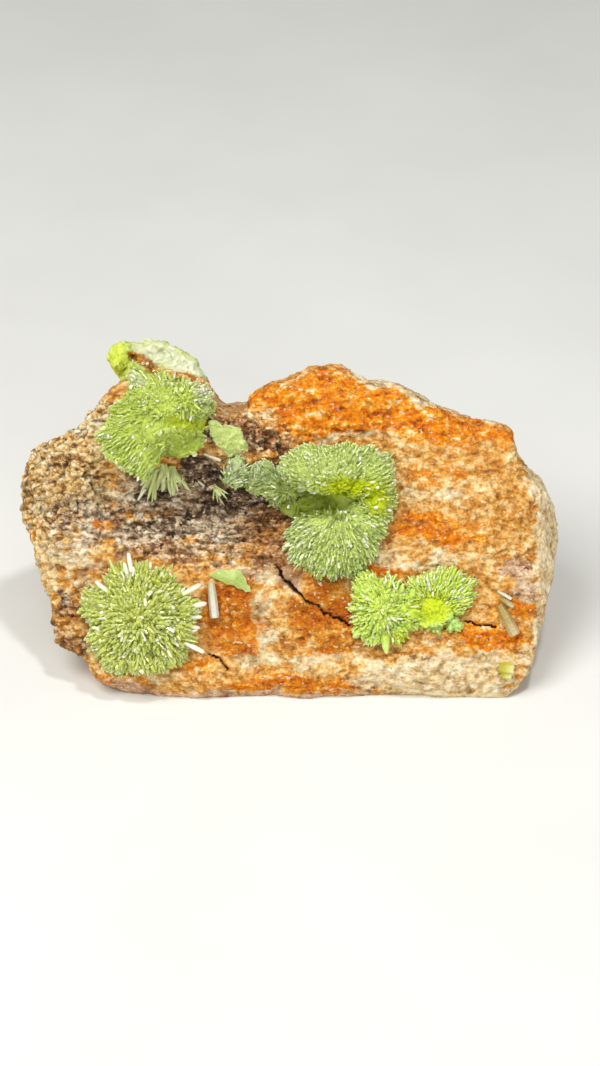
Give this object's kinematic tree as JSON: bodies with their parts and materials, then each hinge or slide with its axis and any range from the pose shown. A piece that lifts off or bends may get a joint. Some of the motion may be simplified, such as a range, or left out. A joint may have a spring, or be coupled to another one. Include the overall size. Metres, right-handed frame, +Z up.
{
  "type": "pyromorphite specimen",
  "caption": "Rough mineral specimen: a rust-stained broken stone whose leaning face carries green clusters of six-sided crystals; rests on its own flat base.",
  "frame": {"origin": "centre of the specimen's footprint box, on the surface that its flat base rests on", "axes": "+Z up; +X to the right along the crystal face, the longest side; -Y out of the front, where the crystal face leans back by 35 degrees from upright"},
  "size_m": [0.0251, 0.0139, 0.0142],
  "materials": {
    "host_stone": "matte",
    "green_crystal": "gloss",
    "olive_crystal": "gloss",
    "bright_crystal": "gloss",
    "pale_green_crystal": "gloss",
    "grey_green_crystal": "gloss",
    "pale_needle": "gloss",
    "grey_crystal": "satin",
    "yellow_crystal": "satin"
  },
  "bodies": {
    "root": {"matrix_stone": "host_stone", "crown_crystals": "green_crystal", "ridge_crystals": "green_crystal", "left_spray": "olive_crystal", "right_fans": "bright_crystal", "small_lobe": "pale_green_crystal", "hanging_needles": "grey_green_crystal", "tiny_spray": "grey_green_crystal", "leaf_crystal": "grey_green_crystal", "loose_needle": "pale_needle", "grey_prism": "grey_crystal", "corner_crystal": "yellow_crystal"}
  },
  "joints": []
}
